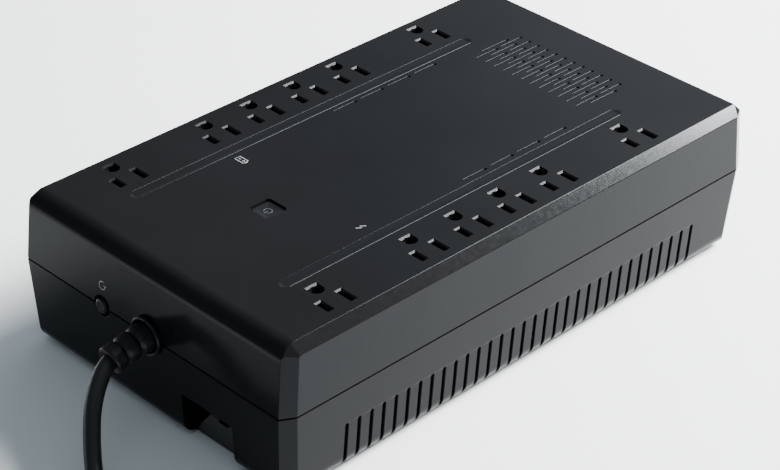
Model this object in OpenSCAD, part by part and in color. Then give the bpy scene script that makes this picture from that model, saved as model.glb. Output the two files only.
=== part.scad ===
/* [Case] */
// Height of the flat top panel above the surface it stands on
case_h = 81; // [76:0.5:90]
// Height of the joint line between the two case halves
split_z = 46.3; // [42:0.1:50]
// Half width of the flat top panel
panel_x = 83.3; // [82:0.1:85]
// Half width of the case at the joint line
split_x = 89; // [88.5:0.1:90]
// Half length of the case at the joint line
split_y = 153.6; // [153:0.1:155]
// Rear edge of the flat top panel
panel_rear = 142.3; // [140:0.1:143]
// Front edge of the flat top panel, measured forward from the origin
panel_front = 146.7; // [145:0.1:147.5]
// Size of the bevel round the top panel
bevel = 4.7; // [4:0.1:5]
// Wall thickness of both halves
wall = 2.5; // [2.2:0.1:2.8]
// Inward taper of the lower half from the joint line to the bottom rounding
taper = 2.3; // [1:0.1:3]
// Radius of the bottom rounding
foot_r = 8; // [7:0.5:9]
// Thickness of the rubber feet
foot_h = 1.2; // [0.8:0.1:1.5]

/* [Outlets] */
// Distance between the middle four outlets of a row
pitch = 28.3; // [27.5:0.1:28.5]
// Distance between the two blade slots of an outlet
blade_gap = 12.7; // [12.7:0.1:12.7]
// Blade centre line of the left row
row_left = 63.15; // [62.8:0.05:63.5]
// Blade centre line of the right row
row_right = -73.35; // [-73.6:0.05:-73]

/* [Vents] */
// Number of slots on each long side
side_vents = 32; // [20:1:32]
// Distance between side slots
side_pitch = 7.5; // [7:0.1:7.5]
// Width of a side slot
side_w = 2; // [1.6:0.1:2.4]
// Distance between the slots of the top grille
grille_pitch = 6; // [5:0.5:6]
// Width of the thin top slots
thin_w = 1.3; // [0.9:0.1:1.4]

/* [Controls] */
// Side of the square opening of the power button
button_hole = 13; // [12.6:0.1:13.4]
// Centre of the power button along the case
button_y = 81.7; // [80:0.1:83]
// Travel of the power button
button_travel = 1.5; // [1:0.1:1.6]
// Breaker reset button position across the case
breaker_x = 31.3; // [30:0.1:33]
// Radius of the breaker reset button
reset_r = 3.9; // [3.5:0.1:4]

/* [Cord] */
// Diameter of the power cord
cord_d = 7.8; // [7:0.1:8]
// Mean turn radius of the stored coil
coil_r = 46.8; // [45:0.1:48]

/* [Hidden] */
eps = 0.01;
gap = 0.3;
lower_top = split_z - 0.45;
upper_bot = split_z + 0.45;
panel_in = case_h - wall;
rear_a = split_y - 2.1 - panel_rear;
rear_b = 8;
low_x = split_x - taper;
low_y = split_y - taper;
ground_x = 11.45;
outlet_y = [110.1, 53.6 + 0 * pitch, 53.6 - pitch, 53.6 - 2 * pitch, 53.6 - 3 * pitch, -88];
rows = [row_left, row_right];
screw_xy = [74, 136];
door_x = 56.5;
door_front = -86;
door_top = foot_h + wall;
notch_l = -20.5;
notch_r = -53.5;
notch_top = 24.8;
notch_back = 128;
battery_c = -3.5;
axis_z = split_z;

// ---------- general helpers ----------
function arc(cx, cy, rx, ry, a0, a1, n) = [for (i = [0:n]) [cx + rx * cos(a0 + (a1 - a0) * i / n), cy + ry * sin(a0 + (a1 - a0) * i / n)]];
function flip(p) = [for (i = [len(p) - 1:-1:0]) [-p[i][0], p[i][1]]];
k45 = sqrt(2) - 1;
// long side section, from the top panel down to the bottom, inset by t
function side_half(t) = concat(
    [[panel_x - k45 * t, case_h - t], [panel_x + bevel - t, case_h - bevel - k45 * t], [split_x - t, split_z]],
    arc(low_x - foot_r, foot_h + foot_r, foot_r - t, foot_r - t, 0, -90, 8));
// rear section with a rounded top edge, inset by t
function rear_half(t) = concat(
    arc(panel_rear, case_h - rear_b, rear_a - t, rear_b - t, 90, 0, 8), [[split_y - t, split_z]],
    arc(low_y - foot_r, foot_h + foot_r, foot_r - t, foot_r - t, 0, -90, 8));
// front section with a flat bevel, inset by t
function front_half(t) = concat(
    [[panel_front - k45 * t, case_h - t], [panel_front + bevel - t, case_h - bevel - k45 * t], [split_y - t, split_z]],
    arc(low_y - foot_r, foot_h + foot_r, foot_r - t, foot_r - t, 0, -90, 8));

// removes everything on the outer side of the plane through p with normal n
module beyond(p, n, t) {
    u = n / norm(n);
    translate(p - t * u) rotate([0, -asin(u[2]), atan2(u[1], u[0])]) translate([0, -150, -150]) cube([80, 300, 300]);
}
cut_x = 4;
cut_y = 7;
top_z = case_h - bevel;
up_a = [split_x - cut_x, split_y, split_z];
up_b = [split_x, split_y - cut_y, split_z];
up_c = [panel_x + bevel, split_y - 2.2 - cut_y, top_z];
up_d = [panel_x + bevel - cut_x, split_y - 2.2, top_z];
low_c = [low_x, low_y - cut_y, foot_h + foot_r];
up_n = cross(up_a - up_b, up_c - up_b);
low_n = cross(up_b - up_a, low_c - up_b);
rear_c = [panel_x + bevel - 1.8, split_y - 7.53, top_z + 0.87];
rear_n = [0.73, 0.264, 0.631];
front_n = cross([panel_x, panel_front, case_h] - up_c, up_d - up_c);
function outward(n) = n[0] + n[1] < 0 ? -n : n;
module corner_cuts(t) {
    for (i = [0, 1], j = [0, 1]) mirror([i, 0, 0]) mirror([0, j, 0]) {
        beyond(up_b, outward(up_n), t);
        beyond(up_b, outward(low_n), t);
        beyond(j == 0 ? rear_c : up_c, outward(j == 0 ? rear_n : front_n), t);
    }
}
// the whole case as one solid, inset by t
module form(t) {
    difference() {
        intersection() {
            rotate([90, 0, 0]) translate([0, 0, -170]) linear_extrude(340) polygon(concat(side_half(t), flip(side_half(t))));
            rotate([90, 0, 90]) translate([0, 0, -100]) linear_extrude(200) polygon(concat(rear_half(t), flip(front_half(t))));
        }
        corner_cuts(t);
    }
}
module slab(z0, z1) translate([-120, -180, z0]) cube([240, 360, z1 - z0]);
module box(x0, x1, y0, y1, z0, z1) translate([x0, y0, z0]) cube([x1 - x0, y1 - y0, z1 - z0]);
module rod_y(x, z, r, y0, y1) translate([x, y0, z]) rotate([-90, 0, 0]) cylinder(r = r, h = y1 - y0, $fn = 48);
module rod_z(x, y, r, z0, z1) translate([x, y, z0]) cylinder(r = r, h = z1 - z0, $fn = 48);
module rod_x(y, z, r, x0, x1) translate([x0, y, z]) rotate([0, 90, 0]) cylinder(r = r, h = x1 - x0, $fn = 48);
module at_screws() for (i = [-1, 1], j = [-1, 1]) translate([i * screw_xy[0], j * screw_xy[1], 0]) children();
module at_outlets(row) for (y = outlet_y) translate([row, y, 0]) children();
module round_square(s, r, h) {
    linear_extrude(h) union() {
        square([s, s - 2 * r], center = true);
        square([s - 2 * r, s], center = true);
        for (i = [-1, 1], j = [-1, 1]) translate([i * (s / 2 - r), j * (s / 2 - r)]) circle(r = r, $fn = 32);
    }
}

// ---------- upper cover ----------
// blade slot with a sloping lead-in, long side along X
module blade_slot(l, w) {
    c = 0.85;
    d = 0.6;
    e = c / d;
    intersection() {
        rotate([90, 0, 0]) translate([0, 0, -10]) linear_extrude(20)
            polygon([[-l / 2 - e, case_h + 1], [l / 2 + e, case_h + 1], [l / 2 - c, case_h - d], [-l / 2 + c, case_h - d]]);
        rotate([90, 0, 90]) translate([0, 0, -10]) linear_extrude(20)
            polygon([[-w / 2 - e, case_h + 1], [w / 2 + e, case_h + 1], [w / 2 - c, case_h - d], [-w / 2 + c, case_h - d]]);
    }
    box(-l / 2 + c, l / 2 - c, -w / 2 + c, w / 2 - c, panel_in - 1, case_h - d + eps);
}
module ground_hole(r, z0, z1) {
    translate([ground_x, 0, z0]) cylinder(r = r, h = z1 - z0, $fn = 48);
    box(ground_x, ground_x + 2.95, -r, r, z0, z1);
}
// sloping lead-in of the ground hole, widest on its flat side
module ground_lead() {
    d = 0.74;
    translate([ground_x, 0, case_h - d]) cylinder(r1 = 3.15, r2 = 3.973, h = 1 + d, $fn = 48);
    intersection() {
        rotate([90, 0, 0]) translate([0, 0, -10]) linear_extrude(20)
            polygon([[ground_x, case_h + 1], [ground_x + 5.42, case_h + 1], [ground_x + 2.95, case_h - d], [ground_x, case_h - d]]);
        rotate([90, 0, 90]) translate([0, 0, -10]) linear_extrude(40)
            polygon([[-3.973, case_h + 1], [3.973, case_h + 1], [3.15, case_h - d], [-3.15, case_h - d]]);
    }
}
module outlet_cut() {
    translate([0, -blade_gap / 2, 0]) blade_slot(10.4, 4.1);
    translate([0, blade_gap / 2, 0]) blade_slot(8.8, 4.2);
    ground_hole(3.15, panel_in - 1, case_h - 0.74 + eps);
    ground_lead();
}
module groove(x) {
    r = 8.2;
    z = case_h + 7.63;
    y0 = -101.4 + 3;
    y1 = 120.1 - 3;
    rod_y(x, z, r, y0, y1);
    for (y = [y0, y1]) translate([x, y, z]) sphere(r = r, $fn = 48);
}
// shallow line with one small square air hole at its front end
module thin_slot(x, y0, y1) {
    box(x - thin_w / 2, x + thin_w / 2, y0, y1, case_h - 0.2, case_h + 1);
    box(x - thin_w / 2, x + thin_w / 2, y0, y0 + 1.3, panel_in - 2, case_h);
}
module grille() {
    for (k = [0:11]) thin_slot(33 - grille_pitch * k, -121.9, -107.2);
    for (k = [0:12]) thin_slot(36 - grille_pitch * k, -115, -96.6);
    for (k = [0:11]) thin_slot(33 - grille_pitch * k, -104.2, -89.4);
}
module upper_cover() {
    color([0.13, 0.13, 0.14]) difference() {
        union() {
            difference() {
                intersection() { form(0); slab(upper_bot, case_h + 5); }
                form(wall);
            }
            at_screws() translate([0, 0, split_z]) cylinder(r = 4.2, h = panel_in - split_z + 0.2, $fn = 40);
            for (i = [-11, 11], y = [78, 95]) rod_z(i, y, 2.2, 61.6, panel_in + 0.2);
            for (x = [-45.5, 45.5], y = [-70, 0, 60]) box(x - 0.8, x + 0.8, y - 8, y + 8, 72, panel_in + 0.2);
        }
        for (row = rows) at_outlets(row) outlet_cut();
        for (x = [-49.6, 49.6]) groove(x);
        for (x = [-43, 43]) {
            thin_slot(x, -70.2, -55.2); thin_slot(x, -51.9, -36.9);
            thin_slot(x, -33.4, -18.4); thin_slot(x, -15.3, -0.3);
        }
        grille();
        translate([0, button_y, panel_in - 1]) round_square(button_hole, 2.2, 6);
        at_screws() translate([0, 0, split_z - 1]) cylinder(r = 1.5, h = 15, $fn = 32);
        rod_y(breaker_x, axis_z, 5.2, 145, 160);
        rod_y(0, axis_z, 8.3, 145, 160);
    }
}

// ---------- lower housing ----------
module side_slots() {
    for (i = [0, 1]) mirror([i, 0, 0]) for (k = [0:side_vents - 1]) {
        y = (side_vents - 1) / 2 * side_pitch - k * side_pitch;
        box(79.6, 95, y - side_w / 2, y + side_w / 2, -1, 26);
        rod_x(y, 26, side_w / 2, 79.6, 95);
    }
}
module lower_housing() {
    color([0.14, 0.14, 0.15]) difference() {
        union() {
            difference() {
                intersection() { form(0); slab(-5, lower_top); }
                form(wall);
            }
            // lip that closes the joint line from inside
            difference() {
                intersection() { form(wall - 0.5); slab(lower_top - 4, lower_top); }
                form(wall + 1.2);
            }
            difference() {
                intersection() { form(wall + 0.3); slab(lower_top - 4, lower_top + 3.2); }
                form(wall + 1.5);
            }
            // screw towers
            at_screws() translate([0, 0, foot_h + 1]) cylinder(r = 4.6, h = split_z - foot_h - 1, $fn = 40);
            // ceiling over the battery door, and its side runners
            difference() {
                intersection() { box(-62, 62, -92, 160, door_top + gap, door_top + gap + 2); form(1); }
                box(-48.5, 48.5, -80, 73, 0, 20);
            }
            for (i = [-1, 1]) box(i * 60.5 - 1.5, i * 60.5 + 1.5, -92, 144, foot_h + 1, door_top + gap + 1);
            box(-62, 62, -92, -88.5, foot_h + 1, door_top + gap + 1);
            // battery bay
            for (y = [-82, 73]) box(-49, 49, y, y + 2, door_top + gap, 44);
            for (i = [-1, 1]) box(i * 49.5 - 1, i * 49.5 + 1, -60, 52, door_top + gap, 36);
            // finger pocket walls
            intersection() {
                box(notch_r - 2, notch_l + 2, notch_back - 2, 160, door_top + gap, notch_top + 2);
                form(1);
            }
            // transformer seat
            for (i = [-1, 1]) box(i * 36 - 12, i * 36 + 12, -138, -96, foot_h + 1, 6);
            // board posts
            for (i = [-1, 1], y = [84, 113]) rod_z(i * 66, y, 3.2, foot_h + 1, 20);
            // breaker cradle
            box(breaker_x - 6, breaker_x + 6, 124, 146, door_top + gap, 37.3);
            box(-4, 4, 128, 131, door_top + gap, axis_z - cord_d / 2);
        }
        side_slots();
        // battery door opening with its side grooves
        box(-door_x - gap, door_x + gap, door_front - gap, 165, -1, door_top + gap);
        box(-door_x - 2.1, door_x + 2.1, door_front - gap, 165, foot_h + 1.1, door_top + gap);
        // finger pocket
        box(notch_r, notch_l, notch_back, 165, -1, notch_top);
        // screws
        at_screws() {
            translate([0, 0, -1]) cylinder(r = 3.6, h = 31, $fn = 40);
            translate([0, 0, 0]) cylinder(r = 1.8, h = 60, $fn = 32);
        }
        for (i = [-1, 1]) rod_z(i * 41, -117, 1.3, 3.9, 8);
        for (i = [-1, 1], y = [84, 113]) rod_z(i * 66, y, 1.3, 11, 21);
        rod_y(breaker_x, axis_z, 5.2, 145, 160);
        rod_y(0, axis_z, 8.3, 145, 160);
    }
}
module rubber_feet() {
    color([0.07, 0.07, 0.07]) for (i = [-1, 1], y = [-112, 112]) rod_z(i * 69, y, 6.5, 0, foot_h);
}
module case_screws() {
    color([0.55, 0.55, 0.57]) at_screws() {
        difference() {
            translate([0, 0, 27.6]) cylinder(r = 3.3, h = 2.4, $fn = 40);
            for (a = [0, 90]) rotate([0, 0, a]) box(-1.8, 1.8, -0.4, 0.4, 27, 28.8);
        }
        translate([0, 0, 30]) cylinder(r = 1.5, h = 28, $fn = 32);
    }
}

// ---------- outlets ----------
block_z = 62;
module outlet_block(x0, x1, row) {
    difference() {
        box(x0, x1, -100, 122, block_z, panel_in);
        at_outlets(row) {
            box(-4.4, 4.4, -blade_gap / 2 - 1.3, -blade_gap / 2 + 1.3, block_z - 1, case_h);
            box(-3.6, 3.6, blade_gap / 2 - 1.3, blade_gap / 2 + 1.3, block_z - 1, case_h);
            ground_hole(3.15, block_z - 1, case_h);
        }
        for (y = [120 - pitch, -60]) box(x0 - 1, x0 + 3, y - 6, y + 6, block_z - 1, block_z + 6);
    }
}
module outlet_block_left() { color([0.1, 0.1, 0.1]) outlet_block(54.2, 82, row_left); }
module outlet_block_right() { color([0.1, 0.1, 0.1]) outlet_block(-82, -54.2, row_right); }
module bar(x, y0, y1) box(x - 1.5, x + 1.5, y0, y1, block_z - 1, block_z);
module leaves(half) {
    for (s = [-1, 1]) box(-half, half, s * 1.05 - 0.2, s * 1.05 + 0.2, block_z, block_z + 9);
}
module line_bars() {
    color([0.78, 0.6, 0.25]) for (row = rows) union() {
        bar(row - 6.9, -98, 121);
        at_outlets(row) translate([0, blade_gap / 2, 0]) { box(-5.6, 3, -2, 2, block_z - 1, block_z); leaves(3); }
    }
}
module neutral_bars() {
    color([0.78, 0.6, 0.25]) for (row = rows) union() {
        bar(row + 6.6, -98, 121);
        at_outlets(row) translate([0, -blade_gap / 2, 0]) { box(-3.5, 5.3, -2, 2, block_z - 1, block_z); leaves(3.5); }
    }
}
module ground_bars() {
    color([0.78, 0.6, 0.25]) for (row = rows) union() {
        bar(row + ground_x, -98, 121);
        at_outlets(row) translate([ground_x, 0, 0]) difference() {
            translate([0, 0, block_z]) cylinder(r = 2.85, h = 7, $fn = 32);
            translate([0, 0, block_z + 1]) cylinder(r = 2.45, h = 8, $fn = 32);
        }
    }
}
module outlet_leads() {
    color([0.6, 0.12, 0.1]) for (row = rows) for (x = [-6.9, 6.6, ground_x]) rod_z(row + x, 118, 1.2, 21.6, block_z - 1);
}

// ---------- battery ----------
module battery() {
    color([0.2, 0.21, 0.23]) difference() {
        box(-47, 47, battery_c - 75.5, battery_c + 75.5, 4.4, 69.4);
        box(45.8, 46.6, battery_c - 80, battery_c + 80, 0, 8);
        box(38, 38.6, battery_c - 80, battery_c - 75.1, 0, 80);
        box(38, 38.6, battery_c + 75.1, battery_c + 80, 0, 80);
        for (y = [-66, 66]) box(44, 50, battery_c + y - 5, battery_c + y + 5, 54, 66);
    }
}
module battery_terminals() {
    color([0.75, 0.72, 0.6]) for (y = [-66, 66]) box(44, 50, battery_c + y - 3.2, battery_c + y + 3.2, 59.6, 60.4);
}
module battery_leads() {
    color([0.75, 0.1, 0.08]) union() {
        box(48, 51.9, battery_c + 62, battery_c + 70, 60.4, 62);
        rod_y(51.5, 62, 1.6, battery_c + 66, 92);
        rod_z(51.5, 92, 1.6, 21.6, 62);
        translate([51.5, 92, 62]) sphere(r = 1.6, $fn = 24);
    }
    color([0.08, 0.08, 0.08]) union() {
        box(48, 51.9, battery_c - 70, battery_c - 62, 56.4, 59.6);
        rod_y(51.5, 56, 1.6, battery_c - 66, 87);
        rod_z(51.5, 87, 1.6, 21.6, 56);
        translate([51.5, 87, 56]) sphere(r = 1.6, $fn = 24);
    }
}
module battery_pad() { color([0.25, 0.25, 0.26]) box(-32, 32, -60, 50, 69.4, panel_in); }

// ---------- transformer ----------
module transformer_core() {
    color([0.35, 0.34, 0.33]) difference() {
        box(-33, 33, -137, -97, 6, 57);
        for (i = [-1, 1]) box(i * 16.5 - 5.5, i * 16.5 + 5.5, -140, -90, 17, 46);
    }
}
module transformer_winding() {
    color([0.62, 0.33, 0.14]) difference() {
        box(-21.7, 21.7, -147, -87, 17.3, 45.7);
        box(-11.3, 11.3, -137.3, -96.7, 10, 50);
    }
}
module transformer_bracket() {
    color([0.7, 0.7, 0.72]) difference() {
        union() {
            box(-34.6, 34.6, -125, -109, 57.1, 58.6);
            for (i = [-1, 1]) {
                box(i * 33.85 - 0.75, i * 33.85 + 0.75, -125, -109, 6, 58);
                box(i * 40.3 - 6.7, i * 40.3 + 6.7, -125, -109, 6, 7.5);
            }
        }
        for (i = [-1, 1]) rod_z(i * 41, -117, 1.6, 0, 10);
    }
}
module pan_screw(x, y, z, r, l) {
    difference() {
        rod_z(x, y, 2.7, z, z + 1.8);
        for (a = [0, 90]) translate([x, y, z]) rotate([0, 0, a]) box(-1.6, 1.6, -0.35, 0.35, 0.9, 3);
    }
    rod_z(x, y, r, z - l, z);
}
module transformer_screws() { color([0.6, 0.6, 0.62]) for (i = [-1, 1]) pan_screw(i * 41, -117, 7.5, 1.3, 3.4); }

// ---------- boards ----------
module main_board() {
    color([0.1, 0.35, 0.16]) difference() {
        box(-82.5, 82.5, 79, 121, 20, 21.6);
        for (i = [-1, 1], y = [84, 113]) rod_z(i * 66, y, 1.5, 15, 25);
        for (i = [-1, 1]) box(i * 76 - 3, i * 76 + 3, 78, 81, 15, 25);
    }
}
module board_screws() { color([0.6, 0.6, 0.62]) for (i = [-1, 1], y = [84, 113]) pan_screw(i * 66, y, 21.6, 1.3, 9); }
module heat_sink() {
    color([0.75, 0.76, 0.78]) union() {
        box(-52, -12, 94, 97, 21.6, 52);
        for (k = [0:9]) box(-52 + k * 4.2, -50.6 + k * 4.2, 83, 95, 21.6, 52);
    }
}
module power_transistors() {
    color([0.12, 0.12, 0.12]) for (k = [0:3]) {
        box(-50 + k * 10, -42 + k * 10, 97, 101.5, 30, 45);
        for (j = [-2.5, 0, 2.5]) box(-46.4 + k * 10 + j, -45.6 + k * 10 + j, 98.8, 99.4, 21.6, 30);
    }
}
module capacitors() {
    color([0.12, 0.14, 0.3]) for (k = [0:2]) difference() {
        rod_z(-2 + k * 17, 91, 7.5, 21.6, 47);
        for (a = [0, 90]) translate([-2 + k * 17, 91, 0]) rotate([0, 0, a]) box(-5, 5, -0.3, 0.3, 46.6, 50);
    }
}
module relays() {
    color([0.12, 0.3, 0.6]) for (k = [0:3]) box(-40 + k * 21, -21 + k * 21, 103.5, 111, 21.6, 37);
}
module buzzer() {
    color([0.08, 0.08, 0.08]) difference() { rod_z(-62, 100, 6, 21.6, 30); rod_z(-62, 100, 1, 27, 31); }
}
module cord_inner_leads() {
    color([0.1, 0.1, 0.1]) union() {
        rod_y(0, axis_z, cord_d / 2, 124, 147.8);
        for (x = [-2, 0, 2]) {
            rod_y(x, axis_z, 0.95, 114.5, 125);
            rod_z(x, 114.5, 0.95, 21.6, axis_z);
            translate([x, 114.5, axis_z]) sphere(r = 0.95, $fn = 20);
        }
    }
}
module button_board() {
    color([0.1, 0.35, 0.16]) box(-14, 14, 75, 98, 60, 61.6);
}
module push_switch() {
    color([0.1, 0.1, 0.1]) difference() {
        box(-4.2, 4.2, button_y - 4.2, button_y + 4.2, 61.6, 69);
        rod_z(0, button_y, 1.9, 62.2, 70);
    }
}
module switch_plunger() { color([0.85, 0.85, 0.85]) rod_z(0, button_y, 1.7, 64.2, 72); }
module power_button() {
    color([0.1, 0.1, 0.11]) translate([0, button_y, 0]) union() {
        translate([0, 0, 77.5]) round_square(button_hole - 0.7, 1.9, 2.6);
        translate([0, 0, 76.6]) round_square(button_hole + 2.6, 2.5, 1.5);
        translate([0, 0, 72]) round_square(6, 1, 4.8);
    }
}

// ---------- breaker ----------
module breaker() {
    color([0.09, 0.09, 0.1]) difference() {
        union() {
            box(breaker_x - 7.5, breaker_x + 7.5, 122, 149.1, 37.3, 55.3);
            box(breaker_x - 3.2, breaker_x - 2.4, 116, 123, 40, 46);
            box(breaker_x + 2.4, breaker_x + 3.2, 116, 123, 40, 46);
        }
        rod_y(breaker_x, axis_z, reset_r + 0.3, 136, 151);
    }
}
module reset_button() {
    color([0.12, 0.12, 0.13]) union() {
        rod_y(breaker_x, axis_z, reset_r, 137, 153.7);
        translate([breaker_x, 153.7, axis_z]) rotate([-90, 0, 0]) cylinder(r1 = reset_r, r2 = reset_r - 0.8, h = 0.8, $fn = 48);
    }
}

// ---------- battery door ----------
module battery_door() {
    color([0.14, 0.14, 0.15]) difference() {
        union() {
            difference() {
                intersection() { form(0); box(-door_x, door_x, door_front, 165, -1, door_top); }
                box(notch_r - 0.01, notch_l + 0.01, 144, 165, -1, 30);
            }
            box(-door_x - 1.8, door_x + 1.8, door_front, 140, foot_h + 1.4, door_top);
            // latch tongue that leans outward in the finger pocket, with a slanted edge beside the finger hole
            difference() {
                translate([-53.1, 0, 0]) rotate([90, 0, 90]) linear_extrude(32.2)
                    polygon([[144, foot_h], [144.5, 3.4], [151.3, 22.9], [151.5, 24], [149.7, 24], [149.2, 22.9], [142.3, 3.6], [141.6, foot_h]]);
                translate([0, 165, 0]) rotate([90, 0, 0]) linear_extrude(30) polygon([[-20, 2.4], [-39.6, 24.2], [-39.6, 30], [-10, 30], [-10, 2.4]]);
            }
            // grip rib at the tip of the tongue
            translate([-51, 0, 0]) rotate([90, 0, 90]) linear_extrude(6.2) polygon([[150.6, 22.6], [152.6, 23], [152.7, 23.5], [150.6, 24]]);
        }
        for (k = [0:5]) box(-14, 14, 120 - k * 4, 121.4 - k * 4, -1, foot_h + 0.6);
    }
}

// ---------- cord outlet ----------
module cord_gland() {
    color([0.1, 0.1, 0.1]) translate([0, 0, axis_z]) rotate([-90, 0, 0]) rotate_extrude($fn = 72)
        polygon([[7.7, 149], [8.25, 149], [8.25, 153.7], [9.6, 153.7], [9.6, 155], [9.2, 155.6], [8.5, 155.6], [8.1, 155], [7.7, 154.6]]);
}
module gland_nut() {
    color([0.1, 0.1, 0.1]) translate([0, 0, axis_z]) rotate([-90, 0, 0]) rotate_extrude($fn = 72)
        polygon([[8.26, 145], [10.4, 145], [10.4, 148.9], [8.26, 148.9]]);
}
// ribbed cord boot: three sections on one axis that droops, as [radius, y, z]
boot = [[6.8, 146.9, 46.3], [7.75, 147.4, 46.3], [7.75, 151, 46.3], [6.95, 151.6, 46.3], [6.95, 156, 46.15], [6.75, 160.6, 45.75],
    [6.2, 161, 45.7], [6.2, 161.8, 45.6], [6.65, 162.2, 45.54], [6.5, 167.6, 44.65], [5.8, 168.1, 44.55], [5.8, 168.9, 44.4],
    [6.3, 169.4, 44.3], [6.55, 173.4, 43.35], [6.1, 174.5, 43]];
module strain_relief() { color([0.08, 0.08, 0.08]) sweep([for (b = boot) [0, b[1], b[2]]], [for (b = boot) b[0]], 40); }

// ---------- cord ----------
coil_c = [-49, 288];
coil_h = 2 * cord_d;
coil_w = 14.6; // half the width of the ring of turns
// centre line of the free stretch, from the boot to the coil
route = [[0, 174.5, 43], [-1.5, 179.5, 41], [-3.5, 184, 37.5], [-6, 188.5, 33], [-9, 192.5, 28], [-12, 195.5, 23],
    [-15.5, 198.5, 18], [-19.5, 201.5, 13], [-25, 205, 8.5], [-32, 209.5, 5.2], [-40, 214.5, 3.9], [-48, 219.5, 3.9],
    [-56, 224.6, 3.9], [-64, 229.6, 3.9], [-72, 234.6, 3.9], [-79.4, 239.3, 3.9]];
// centre line of the last stretch, from the coil to the plug
tail = [[-49, 345.4, 11.7], [-41, 345.4, 11.6], [-33, 345.4, 11], [-25, 345.4, 9.8], [-17, 345.4, 8.6], [-9, 345.4, 8.2],
    [-1, 345.4, 8.8], [7, 345.4, 9.6], [15, 345.4, 10]];
function catmull(p0, p1, p2, p3, t) = 0.5 * ((2 * p1) + (p2 - p0) * t + (2 * p0 - 5 * p1 + 4 * p2 - p3) * t * t + (3 * p1 - p0 - 3 * p2 + p3) * t * t * t);
function on_path(p, i, t) = catmull(i == 0 ? 2 * p[0] - p[1] : p[i - 1], p[i], p[i + 1], i + 2 >= len(p) ? 2 * p[i + 1] - p[i] : p[i + 2], t);
function unit(v) = v / norm(v);
function fine(p, n) = concat([for (i = [0:len(p) - 2], j = [0:n - 1]) on_path(p, i, j / n)], [p[len(p) - 1]]);
function tangent(p, i) = unit(p[min(i + 1, len(p) - 1)] - p[max(i - 1, 0)]);
module sweep(path, radii, s) {
    n = len(path);
    pts = [for (i = [0:n - 1]) let (t = tangent(path, i), a = unit(cross([0, 0, 1], t)), b = cross(t, a))
        for (k = [0:s - 1]) path[i] + radii[i] * (a * cos(360 * k / s) + b * sin(360 * k / s))];
    sides = [for (i = [0:n - 2], k = [0:s - 1]) [i * s + k, i * s + (k + 1) % s, (i + 1) * s + (k + 1) % s, (i + 1) * s + k]];
    polyhedron(points = pts, faces = concat([[for (k = [s - 1:-1:0]) k]], [for (f = sides) f], [[for (k = [0:s - 1]) (n - 1) * s + k]]), convexity = 6);
}
module tube(path, d) sweep(path, [for (p = path) d / 2], 10);
module power_cord() { color([0.07, 0.07, 0.07]) tube(fine(route, 1), cord_d); }
module cord_tail() { color([0.07, 0.07, 0.07]) tube(fine(tail, 1), cord_d); }
module cord_coil() {
    r0 = coil_r - coil_w;
    r1 = coil_r + coil_w;
    q = cord_d / 2;
    color([0.07, 0.07, 0.07]) translate([coil_c[0], coil_c[1], 0]) rotate_extrude($fn = 96)
        polygon(concat(arc(r1 - q, q, q, q, -90, 0, 4), arc(r1 - q, coil_h - q, q, q, 0, 90, 4), arc(r0 + q, coil_h - q, q, q, 90, 180, 4), arc(r0 + q, q, q, q, 180, 270, 4)));
}
module cord_tie() {
    r0 = coil_r - coil_w;
    r1 = coil_r + coil_w;
    color([0.09, 0.09, 0.09]) translate([coil_c[0], coil_c[1], 0]) rotate([0, 0, 20]) difference() {
        box(r0 - 1.7, r1 + 1.3, -5, 5, 0, coil_h + 1.3);
        box(r0 - 0.6, r1 + 0.1, -6, 6, -1, coil_h + 0.1);
    }
}
plug = [15, 345.4, 10];
module plug_body() {
    color([0.08, 0.08, 0.08]) translate(plug) union() {
        rotate([0, 90, 0]) cylinder(r1 = 4.9, r2 = 7, h = 16, $fn = 48);
        translate([15.9, 0, 0]) rotate([90, 0, 90]) linear_extrude(22) offset(r = 3, $fn = 24) square([20, 14], center = true);
    }
}
module plug_blades() {
    color([0.8, 0.8, 0.82]) translate(plug) {
        for (y = [-blade_gap / 2, blade_gap / 2]) box(37.9, 55, y - 0.75, y + 0.75, -6, 0.35);
        translate([37.9, 0, 6]) rotate([0, 90, 0]) cylinder(r = 2.4, h = 19, $fn = 32);
    }
}

upper_cover();
lower_housing();
rubber_feet();
case_screws();
outlet_block_left();
outlet_block_right();
line_bars();
neutral_bars();
ground_bars();
battery();
battery_terminals();
battery_leads();
battery_pad();
transformer_core();
transformer_winding();
transformer_bracket();
transformer_screws();
main_board();
board_screws();
heat_sink();
power_transistors();
capacitors();
relays();
buzzer();
outlet_leads();
cord_inner_leads();
button_board();
push_switch();
switch_plunger();
power_button();
breaker();
reset_button();
battery_door();
cord_gland();
gland_nut();
strain_relief();
power_cord();
cord_coil();
cord_tail();
cord_tie();
plug_body();
plug_blades();
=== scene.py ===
import math
import bpy
import bmesh
from mathutils import Matrix, Vector


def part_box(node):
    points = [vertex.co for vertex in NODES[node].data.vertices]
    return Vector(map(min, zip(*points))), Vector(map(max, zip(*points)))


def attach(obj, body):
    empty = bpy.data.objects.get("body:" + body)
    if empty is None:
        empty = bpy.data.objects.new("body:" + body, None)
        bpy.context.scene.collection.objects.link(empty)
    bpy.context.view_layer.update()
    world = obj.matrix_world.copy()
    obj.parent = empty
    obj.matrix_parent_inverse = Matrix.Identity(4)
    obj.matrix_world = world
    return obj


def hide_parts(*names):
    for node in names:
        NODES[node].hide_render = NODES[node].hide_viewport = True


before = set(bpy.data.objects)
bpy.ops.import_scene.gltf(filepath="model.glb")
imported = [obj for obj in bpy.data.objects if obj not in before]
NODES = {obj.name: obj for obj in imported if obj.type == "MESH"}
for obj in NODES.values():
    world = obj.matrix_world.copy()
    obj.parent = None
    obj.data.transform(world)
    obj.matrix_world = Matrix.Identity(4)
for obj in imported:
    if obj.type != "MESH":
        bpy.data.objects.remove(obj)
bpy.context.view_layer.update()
MM = 0.001

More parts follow.
